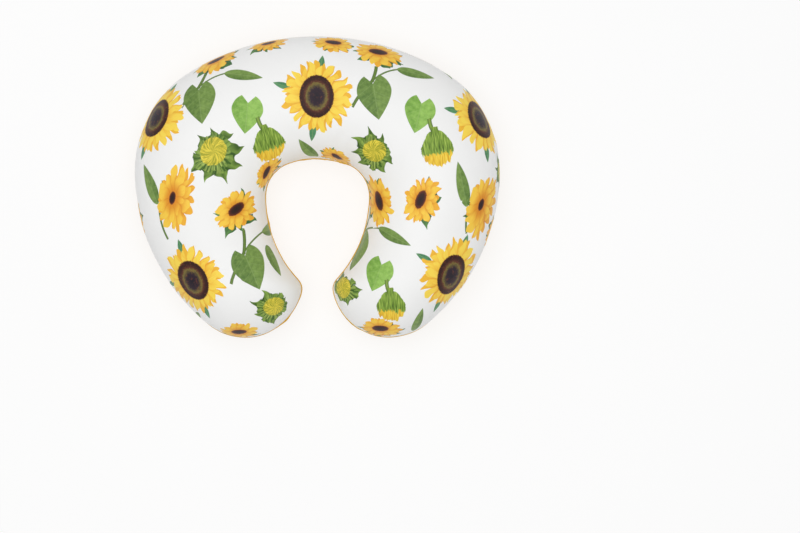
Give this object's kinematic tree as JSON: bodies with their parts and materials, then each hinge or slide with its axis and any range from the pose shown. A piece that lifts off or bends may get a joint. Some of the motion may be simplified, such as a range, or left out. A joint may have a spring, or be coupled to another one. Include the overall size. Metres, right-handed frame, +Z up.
{
  "type": "nursing pillow",
  "caption": "C-shaped nursing pillow: fibre-filled inner pillow in a zipped slip cover, printed cloth on one side and plush on the other.",
  "frame": {"origin": "middle of the plan on the surface that the pillow lies on, plush side down", "axes": "+Z up through the printed side, +Y towards the crown, +X towards the zip's closed end; the opening faces -Y"},
  "size_m": [0.5586, 0.4617, 0.15],
  "materials": {
    "printed_polyester": "smooth woven polyester, printed with a botanical pattern on white",
    "mustard_plush": "short-pile plush, mustard yellow",
    "sewing_thread": "spun polyester thread",
    "zip_tape": "woven polyester tape",
    "nylon_coil": "wound nylon monofilament",
    "nickel_plate": "nickel-plated zinc",
    "satin_ribbon": "blank satin ribbon",
    "white_ticking": "plain-woven cotton blend",
    "polyester_fibre": "loose siliconised polyester fibre"
  },
  "bodies": {
    "pillow": {"cover_front": "printed_polyester", "cover_back": "mustard_plush", "cover_overlock_thread": "sewing_thread", "topstitch_front": "sewing_thread", "topstitch_back": "sewing_thread", "zip_tape_front": "zip_tape", "zip_tape_back": "zip_tape", "zip_coil_front": "nylon_coil", "zip_coil_back": "nylon_coil", "zip_top_stop_front": "nickel_plate", "zip_top_stop_back": "nickel_plate", "zip_bottom_stop": "nickel_plate", "care_label": "satin_ribbon", "inner_case_front": "white_ticking", "inner_case_back": "white_ticking", "inner_overlock_thread": "sewing_thread", "fibre_filling": "polyester_fibre", "filling_label": "satin_ribbon"},
    "slider": {"slider_body": "nickel_plate"},
    "tab": {"pull_tab": "nickel_plate"}
  },
  "joints": [
    {"name": "slider_travel", "type": "hinge", "parent": "pillow", "child": "slider", "pos_m": [0, -0.1495, 0.07], "axis": [0, 0, 1], "range_deg": [0, 47.4]},
    {"name": "tab_swing", "type": "hinge", "parent": "slider", "child": "tab", "pos_m": [0.15169, 0.19569, 0.07], "axis": [0, 0, -1], "range_deg": [0, 150]}
  ]
}
